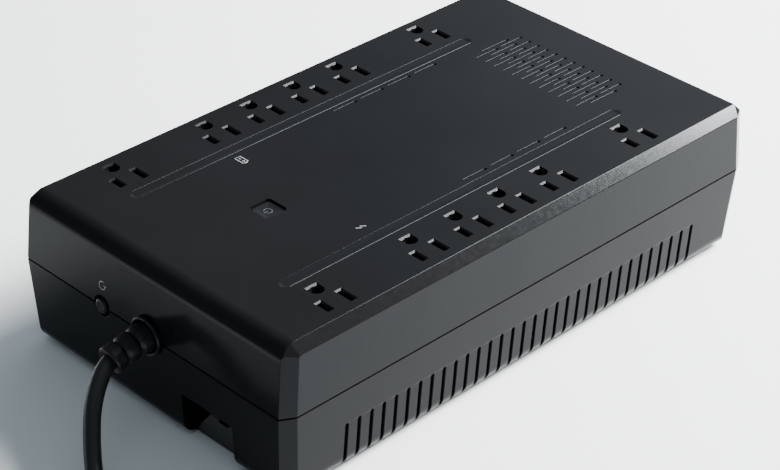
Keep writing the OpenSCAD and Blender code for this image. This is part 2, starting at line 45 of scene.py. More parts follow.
# ------------------------------------------------------------------ camera
def make_camera():
    f, az, el, roll, dist = 2428.9, math.radians(44.660), math.radians(32.678), math.radians(1.158), 1.13603
    u0, v0 = 397.31, 145.14
    back = Vector((-math.sin(az) * math.cos(el), math.cos(az) * math.cos(el), math.sin(el)))
    right = Vector((-math.cos(az), -math.sin(az), 0.0))
    up = back.cross(right)
    r = math.cos(roll) * right + math.sin(roll) * up
    u = -math.sin(roll) * right + math.cos(roll) * up
    target = Vector((0.0, 0.0, 0.081))
    place = target - r * ((u0 - 390.0) / f * dist) + u * ((v0 - 235.0) / f * dist) + back * dist
    data = bpy.data.cameras.new("camera")
    data.sensor_fit = "HORIZONTAL"
    data.sensor_width = 36.0
    data.lens = f * 36.0 / 780.0
    data.clip_start, data.clip_end = 0.05, 20.0
    cam = bpy.data.objects.new("camera", data)
    bpy.context.scene.collection.objects.link(cam)
    rot = Matrix((r, u, back)).transposed()
    cam.matrix_world = Matrix.Translation(place) @ rot.to_4x4()
    bpy.context.scene.camera = cam


make_camera()

# ------------------------------------------------------------------ small helpers
def link(obj):
    bpy.context.scene.collection.objects.link(obj)
    return obj


def mesh_object(name, verts, faces, smooth=True):
    me = bpy.data.meshes.new(name)
    me.from_pydata([tuple(v) for v in verts], [], faces)
    me.validate()
    me.update()
    if smooth:
        me.polygons.foreach_set("use_smooth", [True] * len(me.polygons))
    return link(bpy.data.objects.new(name, me))


def catmull(p, i, t):
    def g(k):
        if k < 0:
            return p[0] * 2 - p[1]
        if k >= len(p):
            return p[-1] * 2 - p[-2]
        return p[k]
    a, b, c, d = g(i - 1), g(i), g(i + 1), g(i + 2)
    return 0.5 * (b * 2 + (c - a) * t + (a * 2 - b * 5 + c * 4 - d) * t * t + (b * 3 - a - c * 3 + d) * t * t * t)


def smooth_path(points, steps):
    p = [Vector(q) * MM for q in points]
    out = []
    for i in range(len(p) - 1):
        for j in range(steps):
            out.append(catmull(p, i, j / steps))
    out.append(p[-1])
    return out


def path_length(path):
    return sum((b - a).length for a, b in zip(path, path[1:]))


def sweep(name, path, radii, sides=32, cap=True):
    """A closed tube round path with its own radius at each point."""
    verts, faces = [], []
    n = len(path)
    side = None
    for i, p in enumerate(path):
        t = (path[min(i + 1, n - 1)] - path[max(i - 1, 0)]).normalized()
        if side is None:
            side = t.cross(Vector((0, 0, 1)))
            if side.length < 1e-4:
                side = t.cross(Vector((1, 0, 0)))
        side = (side - t * side.dot(t)).normalized()
        other = t.cross(side)
        for k in range(sides):
            a = 2 * math.pi * k / sides
            verts.append(p + (side * math.cos(a) + other * math.sin(a)) * radii[i])
    for i in range(n - 1):
        for k in range(sides):
            k2 = (k + 1) % sides
            faces.append((i * sides + k, i * sides + k2, (i + 1) * sides + k2, (i + 1) * sides + k))
    if cap:
        faces.append(tuple(reversed(range(sides))))
        faces.append(tuple((n - 1) * sides + k for k in range(sides)))
    o = mesh_object(name, verts, faces)
    bm = bmesh.new(); bm.from_mesh(o.data)
    bmesh.ops.recalc_face_normals(bm, faces=bm.faces)
    bm.to_mesh(o.data); bm.free()
    return o


def lathe(name, profile, origin, axis, sides=64):
    """profile: (radius, distance) pairs in mm, open ends on the axis are closed to a point."""
    axis = Vector(axis).normalized()
    ref = Vector((0, 0, 1)) if abs(axis.z) < 0.9 else Vector((1, 0, 0))
    s = axis.cross(ref).normalized()
    t = axis.cross(s)
    origin = Vector(origin) * MM
    verts, faces, rings = [], [], []
    for r, d in profile:
        c = origin + axis * d * MM
        if r < 1e-6:
            rings.append([len(verts)])
            verts.append(c)
        else:
            rings.append(list(range(len(verts), len(verts) + sides)))
            for k in range(sides):
                a = 2 * math.pi * k / sides
                verts.append(c + (s * math.cos(a) + t * math.sin(a)) * r * MM)
    for a, b in zip(rings, rings[1:]):
        for k in range(sides):
            k2 = (k + 1) % sides
            if len(a) == 1 and len(b) == 1:
                continue
            if len(a) == 1:
                faces.append((a[0], b[k2], b[k]))
            elif len(b) == 1:
                faces.append((a[k], a[k2], b[0]))
            else:
                faces.append((a[k], a[k2], b[k2], b[k]))
    o = mesh_object(name, verts, faces)
    bm = bmesh.new(); bm.from_mesh(o.data)
    bmesh.ops.recalc_face_normals(bm, faces=bm.faces)
    bm.to_mesh(o.data); bm.free()
    return o


def bevel(obj, width_mm, segments=2, angle=28):
    m = obj.modifiers.new("edge_round", "BEVEL")
    m.width = width_mm * MM
    m.segments = segments
    m.limit_method = "ANGLE"
    m.angle_limit = math.radians(angle)
    m.use_clamp_overlap = False
    m.harden_normals = False
    m.miter_outer = "MITER_ARC"
    return m


def soften(obj, angle=32):
    """Smooth shading with edges above this angle left sharp."""
    me = obj.data
    me.polygons.foreach_set("use_smooth", [True] * len(me.polygons))
    bm = bmesh.new(); bm.from_mesh(me)
    for e in bm.edges:
        e.smooth = not (len(e.link_faces) == 2 and e.calc_face_angle(0) > math.radians(angle))
    bm.to_mesh(me); bm.free()


def crisp_zone(node, m):
    """Edges left as they are: the joint line, and everything cut into the flat top."""
    if node == "upper_cover":
        return m.z < 0.0475 or (m.z > 0.0790 and abs(m.x) < 0.0825 and -0.1458 < m.y < 0.1412)
    if node == "lower_housing":
        return m.z > 0.0451
    return False


def shell_of(node, name, width, body, angle=28):
    """A piece that stands for a CAD shell: the same surfaces with every crisp edge rounded a little, except the edges
    that crisp_zone leaves as they are.
    """
    src = NODES[node]
    me = src.data.copy()
    me.name = name
    o = link(bpy.data.objects.new(name, me))
    me.materials.clear()
    if me.has_custom_normals:
        with bpy.context.temp_override(object=o, active_object=o):
            bpy.context.view_layer.objects.active = o
            bpy.ops.mesh.customdata_custom_splitnormals_clear()
    bm = bmesh.new(); bm.from_mesh(me)
    bmesh.ops.remove_doubles(bm, verts=bm.verts, dist=2e-6)
    bmesh.ops.dissolve_degenerate(bm, dist=2e-6, edges=bm.edges)
    bmesh.ops.recalc_face_normals(bm, faces=bm.faces)
    for f in bm.faces:
        f.smooth = True
    weight = bm.edges.layers.float.new("bevel_weight_edge")
    for e in bm.edges:
        e.smooth = True
        if len(e.link_faces) == 2 and e.calc_face_angle(0) > math.radians(angle):
            m = (e.verts[0].co + e.verts[1].co) / 2
            crisp = crisp_zone(node, m)
            e[weight] = 0.0 if crisp else 1.0
            e.smooth = not crisp
    bm.to_mesh(me); bm.free()
    bevel(o, width, 2, angle).limit_method = "WEIGHT"
    dg = bpy.context.evaluated_depsgraph_get()
    baked = bpy.data.meshes.new_from_object(o.evaluated_get(dg), depsgraph=dg)
    o.modifiers.clear()
    o.data = baked
    bm = bmesh.new(); bm.from_mesh(baked)
    for e in bm.edges:
        if len(e.link_faces) == 2 and e.calc_face_angle(0) > math.radians(52):
            e.smooth = False
    # large flat areas keep their own direction when the shading is blended across a soft edge
    rank = bm.faces.layers.int.new("__mod_weightednormals_faceweight")
    bm.faces.ensure_lookup_table()
    seen = set()
    for first in bm.faces:
        if first.index in seen:
            continue
        seen.add(first.index)
        group, todo = [], [first]
        while todo:
            f = todo.pop()
            group.append(f)
            for e in f.edges:
                if len(e.link_faces) == 2 and e.calc_face_angle(0) < 0.004:
                    for g in e.link_faces:
                        if g.index not in seen:
                            seen.add(g.index)
                            todo.append(g)
        area = sum(f.calc_area() for f in group)
        low = [min(v.co[k] for f in group for v in f.verts) for k in range(3)]
        high = [max(v.co[k] for f in group for v in f.verts) for k in range(3)]
        big = area > 60e-6 and area > 0.004 * math.dist(low, high)
        for f in group:
            f[rank] = 16384 if big else -16384
    bm.to_mesh(baked); bm.free()
    w = o.modifiers.new("flat_faces", "WEIGHTED_NORMAL")
    w.mode = "FACE_AREA"
    w.weight = 90
    w.keep_sharp = True
    w.use_face_influence = True
    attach(o, body)
    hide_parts(node)
    return o


# ------------------------------------------------------------------ cord (made right after the camera)
CORD_D = 0.0078
ROUTE = [(0, 174.5, 43), (-1.5, 179.5, 41), (-3.5, 184, 37.5), (-6, 188.5, 33), (-9, 192.5, 28), (-12, 195.5, 23),
         (-15.5, 198.5, 18), (-19.5, 201.5, 13), (-25, 205, 8.5), (-32, 209.5, 5.2), (-40, 214.5, 3.9), (-48, 219.5, 3.9),
         (-56, 224.6, 3.9), (-64, 229.6, 3.9), (-72, 234.6, 3.9), (-79.4, 239.3, 3.9)]
TAIL = [(-49, 345.4, 11.7), (-41, 345.4, 11.6), (-33, 345.4, 11), (-25, 345.4, 9.8), (-17, 345.4, 8.6), (-9, 345.4, 8.2),
        (-1, 345.4, 8.8), (7, 345.4, 9.6), (15, 345.4, 10)]


def coil_path():
    cx, cy = -49.0, 288.0
    r_out, turns = 57.4, 1948.0 / 360.0
    half = turns / 2
    pitch = 21.2 / half
    out = []
    n = int(turns * 72)
    for i in range(1, n):
        t = turns * i / n
        r = r_out - pitch * t if t < half else r_out - pitch * (turns - t)
        k = min(1.0, max(0.0, (t - (half - 0.3)) / 0.4))
        z = 3.9 + 7.8 * (k * k * (3 - 2 * k))
        a = math.radians(238.0 - 360.0 * t)
        out.append(Vector((cx + r * math.cos(a), cy + r * math.sin(a), z)) * MM)
    return out


def make_cord():
    lead = smooth_path(ROUTE, 4)
    tail = smooth_path(TAIL, 4)
    whole = lead + coil_path() + tail
    curve = bpy.data.curves.new("power_lead", "CURVE")
    curve.dimensions = "3D"
    sp = curve.splines.new("POLY")
    sp.points.add(len(whole) - 1)
    for q, p in zip(sp.points, whole):
        q.co = (p.x, p.y, p.z, 1.0)
        q.radius = CORD_D / 2
    curve.bevel_depth = 1.0
    curve.bevel_resolution = 7
    curve.use_fill_caps = True
    curve.twist_mode = "MINIMUM"
    sp.use_smooth = True
    o = link(bpy.data.objects.new("power_lead", curve))
    return o, whole


lead, LEAD_PATH = make_cord()
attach(lead, "case")
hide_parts("power_cord", "cord_coil", "cord_tail")

# ------------------------------------------------------------------ materials
def new_material(name):
    m = bpy.data.materials.new(name)
    m.use_nodes = True
    nt = m.node_tree
    nt.nodes.clear()
    out = nt.nodes.new("ShaderNodeOutputMaterial")
    bsdf = nt.nodes.new("ShaderNodeBsdfPrincipled")
    nt.links.new(bsdf.outputs["BSDF"], out.inputs["Surface"])
    return m, nt, bsdf


def coords(nt):
    return nt.nodes.new("ShaderNodeTexCoord").outputs["Object"]


def noise(nt, vec, scale, detail=3.0, rough=0.55):
    n = nt.nodes.new("ShaderNodeTexNoise")
    n.inputs["Scale"].default_value = scale
    n.inputs["Detail"].default_value = detail
    n.inputs["Roughness"].default_value = rough
    nt.links.new(vec, n.inputs["Vector"])
    return n.outputs["Fac"]


def ramp(nt, fac, stops):
    r = nt.nodes.new("ShaderNodeValToRGB")
    el = r.color_ramp.elements
    el[0].position, el[0].color = stops[0][0], (*stops[0][1], 1)
    el[1].position, el[1].color = stops[-1][0], (*stops[-1][1], 1)
    for pos, col in stops[1:-1]:
        e = el.new(pos)
        e.color = (*col, 1)
    nt.links.new(fac, r.inputs["Fac"])
    return r.outputs["Color"]


def remap(nt, fac, a, b, lo, hi):
    m = nt.nodes.new("ShaderNodeMapRange")
    m.inputs["From Min"].default_value = a
    m.inputs["From Max"].default_value = b
    m.inputs["To Min"].default_value = lo
    m.inputs["To Max"].default_value = hi
    nt.links.new(fac, m.inputs["Value"])
    return m.outputs["Result"]


def bump(nt, height, strength, distance, prev=None):
    b = nt.nodes.new("ShaderNodeBump")
    b.inputs["Strength"].default_value = strength
    b.inputs["Distance"].default_value = distance
    nt.links.new(height, b.inputs["Height"])
    if prev is not None:
        nt.links.new(prev, b.inputs["Normal"])
    return b.outputs["Normal"]


def grey(v, tint=(1.0, 1.0, 1.0)):
    return tuple(v * t for t in tint)


def plastic(name, base, spread=0.12, rough=(0.38, 0.5), grain=2600.0, grain_h=0.00002, grain_s=0.35, tint=(0.98, 1.0, 1.04), ior=1.5):
    m, nt, b = new_material(name)
    v = coords(nt)
    broad = noise(nt, v, 18.0, 4.0)
    nt.links.new(ramp(nt, broad, [(0.3, grey(base * (1 - spread), tint)), (0.7, grey(base * (1 + spread), tint))]), b.inputs["Base Color"])
    fine = noise(nt, v, 420.0, 3.0)
    nt.links.new(remap(nt, fine, 0.3, 0.7, rough[0], rough[1]), b.inputs["Roughness"])
    g = noise(nt, v, grain, 2.0, 0.6)
    nt.links.new(bump(nt, g, grain_s, grain_h), b.inputs["Normal"])
    b.inputs["IOR"].default_value = ior
    b.inputs["Specular Tint"].default_value = (0.88, 0.98, 1.03, 1.0)
    return m


def metal(name, base, rough=(0.2, 0.34), grain=900.0, tint=(1, 1, 1)):
    m, nt, b = new_material(name)
    v = coords(nt)
    broad = noise(nt, v, 60.0, 4.0)
    nt.links.new(ramp(nt, broad, [(0.3, tuple(c * 0.86 for c in base)), (0.7, base)]), b.inputs["Base Color"])
    fine = noise(nt, v, grain, 3.0)
    nt.links.new(remap(nt, fine, 0.3, 0.7, rough[0], rough[1]), b.inputs["Roughness"])
    nt.links.new(bump(nt, fine, 0.15, 0.00002), b.inputs["Normal"])
    b.inputs["Metallic"].default_value = 1.0
    return m


M_COVER = plastic("cover_plastic", 0.006, 0.10, (0.13, 0.17), 2600.0, 0.00001, 0.04, (0.95, 0.99, 1.08), 1.185)
M_HOUSING = plastic("housing_plastic", 0.005, 0.10, (0.15, 0.19), 2600.0, 0.00001, 0.04, (0.93, 1.0, 1.06), 1.162)
M_KEY = plastic("key_plastic", 0.006, 0.10, (0.24, 0.34), 3200.0, 0.00001, 0.1, (0.95, 1.0, 1.07), 1.26)
M_RUBBER = plastic("foot_rubber", 0.014, 0.15, (0.6, 0.75), 1800.0, 0.00004, 0.4, (1, 1, 1), 1.48)
M_CORD = plastic("cord_vinyl", 0.006, 0.14, (0.34, 0.46), 1500.0, 0.00003, 0.15, (0.98, 1.0, 1.03), 1.38)
M_BOOT = plastic("boot_vinyl", 0.005, 0.14, (0.36, 0.48), 1500.0, 0.00003, 0.15, (0.98, 1.0, 1.03), 1.3)
M_BLOCK = plastic("insulator_plastic", 0.010, 0.10, (0.5, 0.62), 2200.0, 0.00002, 0.3)
M_BATTERY = plastic("battery_plastic", 0.06, 0.1, (0.4, 0.5), 1500.0, 0.00003, 0.3)
M_FOAM = plastic("foam_pad", 0.05, 0.3, (0.85, 0.95), 900.0, 0.0002, 0.9)
M_CHIP = plastic("chip_epoxy", 0.02, 0.1, (0.5, 0.6), 2000.0, 0.00002, 0.3)
M_SLEEVE = plastic("capacitor_sleeve", 0.05, 0.1, (0.25, 0.35), 900.0, 0.00001, 0.2, (0.5, 0.6, 2.0))
M_RELAY = plastic("relay_plastic", 0.12, 0.1, (0.3, 0.4), 900.0, 0.00001, 0.2, (0.3, 0.9, 2.2))
M_BOARD = plastic("board_mask", 0.06, 0.25, (0.25, 0.35), 700.0, 0.00003, 0.4, (0.3, 1.7, 0.6))
M_WIRE = plastic("wire_red", 0.2, 0.1, (0.3, 0.4), 900.0, 0.00001, 0.2, (2.0, 0.2, 0.15))
M_CORE = plastic("core_varnish", 0.09, 0.25, (0.35, 0.5), 500.0, 0.0001, 0.5, (1.1, 0.95, 0.8))
M_WINDING = plastic("winding_tape", 0.2, 0.2, (0.3, 0.45), 500.0, 0.0001, 0.5, (1.7, 0.8, 0.3))
M_BRASS = metal("contact_brass", (0.78, 0.58, 0.27))
M_BLADE = metal("blade_nickel", (0.72, 0.70, 0.67), (0.16, 0.28))
M_STEEL = metal("screw_steel", (0.55, 0.55, 0.57), (0.25, 0.4))
M_ALU = metal("sink_aluminium", (0.74, 0.75, 0.77), (0.3, 0.45))
M_MARK = plastic("mark_ink", 0.30, 0.08, (0.45, 0.55), 1500.0, 0.00001, 0.2, (0.97, 1.0, 1.03))
M_FAINT = plastic("faint_ink", 0.05, 0.08, (0.35, 0.45), 1500.0, 0.00001, 0.2, (0.97, 1.0, 1.03))


def paint(obj, mat):
    if obj.type == "MESH":
        obj.data.materials.clear()
    obj.data.materials.append(mat)


paint(lead, M_CORD)
for node, mat in {
    "rubber_feet": M_RUBBER, "case_screws": M_STEEL, "outlet_block_left": M_BLOCK, "outlet_block_right": M_BLOCK,
    "line_bars": M_BRASS, "neutral_bars": M_BRASS, "ground_bars": M_BRASS, "battery": M_BATTERY,
    "battery_terminals": M_BRASS, "battery_leads": M_WIRE, "battery_pad": M_FOAM, "transformer_core": M_CORE,
    "transformer_winding": M_WINDING, "transformer_bracket": M_STEEL, "transformer_screws": M_STEEL,
    "main_board": M_BOARD, "board_screws": M_STEEL, "heat_sink": M_ALU, "power_transistors": M_CHIP,
    "capacitors": M_SLEEVE, "relays": M_RELAY, "buzzer": M_CHIP, "outlet_leads": M_WIRE,
    "cord_inner_leads": M_CORD, "button_board": M_BOARD, "push_switch": M_CHIP, "switch_plunger": M_KEY,
    "breaker": M_BLOCK, "gland_nut": M_KEY,
}.items():
    o = NODES[node]
    for k in range(max(1, len(o.material_slots))):
        if not o.material_slots:
            o.data.materials.append(mat)
        else:
            o.material_slots[k].material = mat

# ------------------------------------------------------------------ case shells
cover = shell_of("upper_cover", "cover_shell", 0.28, "case")
paint(cover, M_COVER)
housing = shell_of("lower_housing", "housing_shell", 0.28, "case")
paint(housing, M_HOUSING)
door = shell_of("battery_door", "battery_door_plate", 0.25, "door")
paint(door, M_HOUSING)

# ------------------------------------------------------------------ power button
def rounded_square(half, r, n=8):
    pts = []
    for cx, cy, a0 in ((1, 1, 0), (-1, 1, 90), (-1, -1, 180), (1, -1, 270)):
        for i in range(n + 1):
            a = math.radians(a0 + 90 * i / n)
            pts.append((cx * (half - r) + r * math.cos(a), cy * (half - r) + r * math.sin(a)))
    return pts


def make_power_button():
    box_lo, box_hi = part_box("power_button")
    cx, cy, top = (box_lo[0] + box_hi[0]) / 2 / MM, (box_lo[1] + box_hi[1]) / 2 / MM, box_hi[2] / MM
    half = 6.15
    rings = []
    # from the flange up to the dished face: (half size, corner radius, z)
    for h, r, z in ((3.0, 1.0, top - 8.1), (3.0, 1.0, top - 3.5), (7.8, 2.5, top - 3.5), (7.8, 2.5, top - 2.0), (half, 1.9, top - 2.0),
                    (half, 1.9, top - 0.5), (half - 0.15, 1.8, top - 0.15), (half - 0.5, 1.6, top), (half - 1.1, 1.3, top - 0.03),
                    (half - 2.2, 1.0, top - 0.22), (half - 3.6, 0.9, top - 0.36), (half - 5.0, 0.6, top - 0.42)):
        rings.append([(cx + x, cy + y, z) for x, y in rounded_square(h, r)])
    verts = [Vector(p) * MM for ring in rings for p in ring]
    n = len(rings[0])
    faces = []
    for i in range(len(rings) - 1):
        for k in range(n):
            k2 = (k + 1) % n
            faces.append((i * n + k, i * n + k2, (i + 1) * n + k2, (i + 1) * n + k))
    faces.append(tuple(reversed(range(n))))
    faces.append(tuple((len(rings) - 1) * n + k for k in range(n)))
    o = mesh_object("power_button_cap", verts, faces)
    soften(o, 40)
    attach(o, "power_key")
    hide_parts("power_button")
    paint(o, M_KEY)
    # generic power symbol, a thin raised ring with a bar
    verts, faces = [], []
    z0, z1 = top - 0.45, top - 0.30
    def ringbit(r0, r1, a0, a1, n):
        base = len(verts)
        for i in range(n + 1):
            a = math.radians(a0 + (a1 - a0) * i / n)
            for r in (r0, r1):
                for z in (z0, z1):
                    verts.append(Vector((cx + r * math.cos(a), cy + r * math.sin(a), z)) * MM)
        for i in range(n):
            b = base + i * 4
            c = b + 4
            faces.extend([(b + 1, b + 3, c + 3, c + 1), (b, c, c + 2, b + 2), (b, b + 1, c + 1, c), (b + 2, c + 2, c + 3, b + 3)])
        e = base + n * 4
        faces.extend([(base, base + 2, base + 3, base + 1), (e, e + 1, e + 3, e + 2)])
    ringbit(1.75, 2.15, 90 + 35, 450 - 35, 30)
    b = len(verts)
    for x in (-0.2, 0.2):
        for y in (0.3, 2.5):
            for z in (z0, z1):
                verts.append(Vector((cx + x, cy + y, z)) * MM)
    faces.extend([(b, b + 1, b + 3, b + 2), (b + 4, b + 6, b + 7, b + 5), (b, b + 4, b + 5, b + 1), (b + 2, b + 3, b + 7, b + 6), (b + 1, b + 5, b + 7, b + 3), (b, b + 2, b + 6, b + 4)])
    s = mesh_object("power_symbol", verts, faces, smooth=False)
    bm = bmesh.new(); bm.from_mesh(s.data); bmesh.ops.recalc_face_normals(bm, faces=bm.faces); bm.to_mesh(s.data); bm.free()
    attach(s, "power_key")
    paint(s, M_FAINT)


make_power_button()

# ------------------------------------------------------------------ reset button
def make_reset_button():
    lo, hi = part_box("reset_button")
    cx, cz = (lo[0] + hi[0]) / 2 / MM, (lo[2] + hi[2]) / 2 / MM
    y0, y1 = lo[1] / MM, hi[1] / MM
    r = (hi[0] - lo[0]) / 2 / MM
    prof = [(0, 0), (r, 0), (r, y1 - y0 - 1.2), (r - 0.1, y1 - y0 - 0.75), (r - 0.35, y1 - y0 - 0.35), (r - 0.75, y1 - y0 - 0.1), (r - 1.2, y1 - y0),
            (r - 1.9, y1 - y0 - 0.05), (r - 2.8, y1 - y0 - 0.16), (0, y1 - y0 - 0.22)]
    o = lathe("reset_button_cap", prof, (cx, y0, cz), (0, 1, 0), 56)
    soften(o, 40)
    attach(o, "reset_key")
    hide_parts("reset_button")
    paint(o, M_KEY)


make_reset_button()

# ------------------------------------------------------------------ gland, boot
def make_gland():
    prof = [(7.7, 149), (8.22, 149), (8.22, 153.75), (9.3, 153.75), (9.58, 154.1), (9.6, 154.7), (9.45, 155.2), (9.15, 155.5), (8.75, 155.58), (8.35, 155.45),
            (8.05, 155.1), (7.85, 154.4), (7.7, 153.6), (7.7, 149)]
    o = lathe("gland_ring", prof, (0, 0, 46.3), (0, 1, 0), 72)
    soften(o, 50)
    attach(o, "case")
    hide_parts("cord_gland")
    paint(o, M_KEY)
    return o


def make_boot():
    """Ribbed vinyl boot swept ring by ring on a gently drooping axis."""
    axis_pts = [Vector(q) for q in ((0, 143, 46.3), (0, 147, 46.3), (0, 151, 46.3), (0, 156, 46.15), (0, 160.6, 45.75), (0, 167.6, 44.65), (0, 173.4, 43.35), (0, 178, 42.0))]
    dense = []
    for i in range(len(axis_pts) - 1):
        dense += [catmull(axis_pts, i, j / 12) for j in range(12)]

    def on_axis(y):
        for q, r in zip(dense, dense[1:]):
            if q.y <= y <= r.y:
                t = (y - q.y) / (r.y - q.y)
                return q.lerp(r, t), (r - q).normalized()
        return dense[-1], (dense[-1] - dense[-2]).normalized()

    # (radius, Y along the axis)
    prof = [(0.5, 147.0), (6.8, 147.0), (7.7, 147.5), (7.7, 151.0), (7.15, 151.6), (7.05, 154.0), (7.0, 157.0), (6.95, 159.2), (6.85, 160.0), (6.55, 160.5), (6.15, 160.85), (5.95, 161.2),
            (5.95, 161.6), (6.15, 161.95), (6.5, 162.25), (6.72, 162.7), (6.78, 163.4), (6.72, 165.0), (6.64, 166.6), (6.5, 167.3), (6.2, 167.75), (5.85, 168.1), (5.65, 168.4),
            (5.65, 168.8), (5.9, 169.1), (6.25, 169.35), (6.5, 169.75), (6.58, 170.5), (6.6, 171.8), (6.72, 172.9), (6.85, 173.8), (6.85, 174.4), (6.7, 174.85), (6.35, 175.1),
            (5.95, 175.15), (5.5, 174.95), (4.9, 174.6), (4.3, 174.4), (3.7, 174.35), (0.5, 174.35)]
    verts, faces, n = [], [], 64
    side = Vector((1, 0, 0))
    for r, y in prof:
        c, t = on_axis(y)
        # each ring stands square to the axis direction at its own Y
        other = t.cross(side)
        for k in range(n):
            a = 2 * math.pi * k / n
            verts.append((c + (side * math.cos(a) + other * math.sin(a)) * r) * MM)
    for i in range(len(prof) - 1):
        for k in range(n):
            k2 = (k + 1) % n
            faces.append((i * n + k, i * n + k2, (i + 1) * n + k2, (i + 1) * n + k))
    faces.append(tuple(reversed(range(n))))
    faces.append(tuple((len(prof) - 1) * n + k for k in range(n)))
    o = mesh_object("cord_boot", verts, faces)
    bm = bmesh.new(); bm.from_mesh(o.data); bmesh.ops.recalc_face_normals(bm, faces=bm.faces); bm.to_mesh(o.data); bm.free()
    soften(o, 60)
    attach(o, "case")
    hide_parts("strain_relief")
    paint(o, M_BOOT)
    return o


gland = make_gland()
boot = make_boot()

# ------------------------------------------------------------------ tie, plug
def make_tie():
    lo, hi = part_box("cord_tie")
    cx, cy = -49.0, 288.0
    a = math.radians(20)
    u = Vector((math.cos(a), math.sin(a), 0))
    w = Vector((-math.sin(a), math.cos(a), 0))
    r0, r1, h = 31.6, 61.5, 15.75
    # closed strap loop round the ring's section, with rounded corners
    loop = []
    rr = 2.6
    for ccx, ccz, a0 in ((r1 - rr, rr, -90), (r1 - rr, h - rr, 0), (r0 + rr, h - rr, 90), (r0 + rr, rr, 180)):
        for i in range(7):
            t = math.radians(a0 + 90 * i / 6)
            loop.append((ccx + rr * math.cos(t), ccz + rr * math.sin(t), math.cos(t), math.sin(t)))
    verts, faces = [], []
    n = len(loop)
    th = 0.9
    rows = [(-4.6, 0.0), (-4.6, th * 0.7), (-4.2, th), (4.2, th), (4.6, th * 0.7), (4.6, 0.0)]
    for x, z, nx, nz in loop:
        for off, lift in rows:
            zz = max(z + nz * lift, 0.02 if lift else 0.0)
            p = Vector((cx, cy, 0)) + u * (x + nx * lift) + w * off + Vector((0, 0, zz))
            verts.append(p * MM)
    m = len(rows)
    for i in range(n):
        j = (i + 1) % n
        for k in range(m):
            k2 = (k + 1) % m
            faces.append((i * m + k, j * m + k, j * m + k2, i * m + k2))
    o = mesh_object("tie_strap", verts, faces)
    bm = bmesh.new(); bm.from_mesh(o.data); bmesh.ops.recalc_face_normals(bm, faces=bm.faces); bm.to_mesh(o.data); bm.free()
    soften(o, 35)
    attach(o, "case")
    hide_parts("cord_tie")
    paint(o, M_RUBBER)
    return o


def make_plug():
    lo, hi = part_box("plug_body")
    x0, x1 = lo[0] / MM, hi[0] / MM
    cy, cz = 345.4, 10.0
    # sections along X: (x, half width Y, half height Z, corner exponent)
    sec = [(0, 4.2, 4.2, 2), (0.3, 4.8, 4.8, 2), (3, 5.0, 5.0, 2), (3.4, 4.5, 4.5, 2), (4.4, 4.5, 4.5, 2), (4.8, 5.2, 5.2, 2), (7, 5.5, 5.5, 2), (7.4, 4.9, 4.9, 2),
           (8.4, 4.9, 4.9, 2), (8.8, 5.8, 5.8, 2), (12, 6.6, 6.4, 2.2), (15, 8.6, 7.6, 2.6), (17.5, 11.4, 8.9, 3.2), (19.5, 12.5, 9.6, 4), (22, 12.9, 9.9, 4.5),
           (28, 13.0, 10.0, 5), (35.5, 13.0, 10.0, 5), (36.6, 12.8, 9.8, 5), (37.2, 12.3, 9.3, 5), (37.5, 11.4, 8.4, 5), (37.55, 3, 2, 5)]
    n = 64
    verts, faces = [], []
    for x, hy, hz, e in sec:
        for k in range(n):
            a = 2 * math.pi * k / n
            c, s = math.cos(a), math.sin(a)
            py = math.copysign(abs(c) ** (2 / e), c) * hy
            pz = math.copysign(abs(s) ** (2 / e), s) * hz
            verts.append(Vector((x0 + x, cy + py, cz + pz)) * MM)
    for i in range(len(sec) - 1):
        for k in range(n):
            k2 = (k + 1) % n
            faces.append((i * n + k, i * n + k2, (i + 1) * n + k2, (i + 1) * n + k))
    faces.append(tuple(reversed(range(n))))
    faces.append(tuple((len(sec) - 1) * n + k for k in range(n)))
    o = mesh_object("plug_moulding", verts, faces)
    bm = bmesh.new(); bm.from_mesh(o.data); bmesh.ops.recalc_face_normals(bm, faces=bm.faces); bm.to_mesh(o.data); bm.free()
    soften(o, 40)
    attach(o, "case")
    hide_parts("plug_body")
    paint(o, M_CORD)
    # blades with chamfered tips, and a round-nosed ground pin
    bm = bmesh.new()
    for y in (-6.35, 6.35):
        w0, w1 = -6.0, 0.35
        outline = [(-0.6, w0), (15.6, w0), (17.0, w0 + 1.3), (17.0, w1 - 1.3), (15.6, w1), (-0.6, w1)]
        vs = [[bm.verts.new(Vector((x1 + px, cy + y + t, cz + pz)) * MM) for px, pz in outline] for t in (-0.75, 0.75)]
        bm.faces.new(vs[0]); bm.faces.new(list(reversed(vs[1])))
        for i in range(len(outline)):
            j = (i + 1) % len(outline)
            bm.faces.new((vs[0][i], vs[1][i], vs[1][j], vs[0][j]))
    bmesh.ops.recalc_face_normals(bm, faces=bm.faces)
    me = bpy.data.meshes.new("plug_pins")
    bm.to_mesh(me); bm.free()
    b = link(bpy.data.objects.new("plug_pins", me))
    bevel(b, 0.2, 2)
    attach(b, "case")
    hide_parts("plug_blades")
    paint(b, M_BLADE)
    g = lathe("plug_ground_pin", [(0, -0.6), (2.4, -0.6), (2.4, 16.2), (2.25, 17.4), (1.8, 18.3), (1.0, 18.85), (0, 19.0)], (x1, cy, cz + 6.0), (1, 0, 0), 40)
    soften(g, 40)
    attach(g, "case")
    paint(g, M_BLADE)
    return o, b, g


tie = make_tie()
plug, pins, ground_pin = make_plug()

# ------------------------------------------------------------------ fine edge lines and printed marks
TOP = 81.0


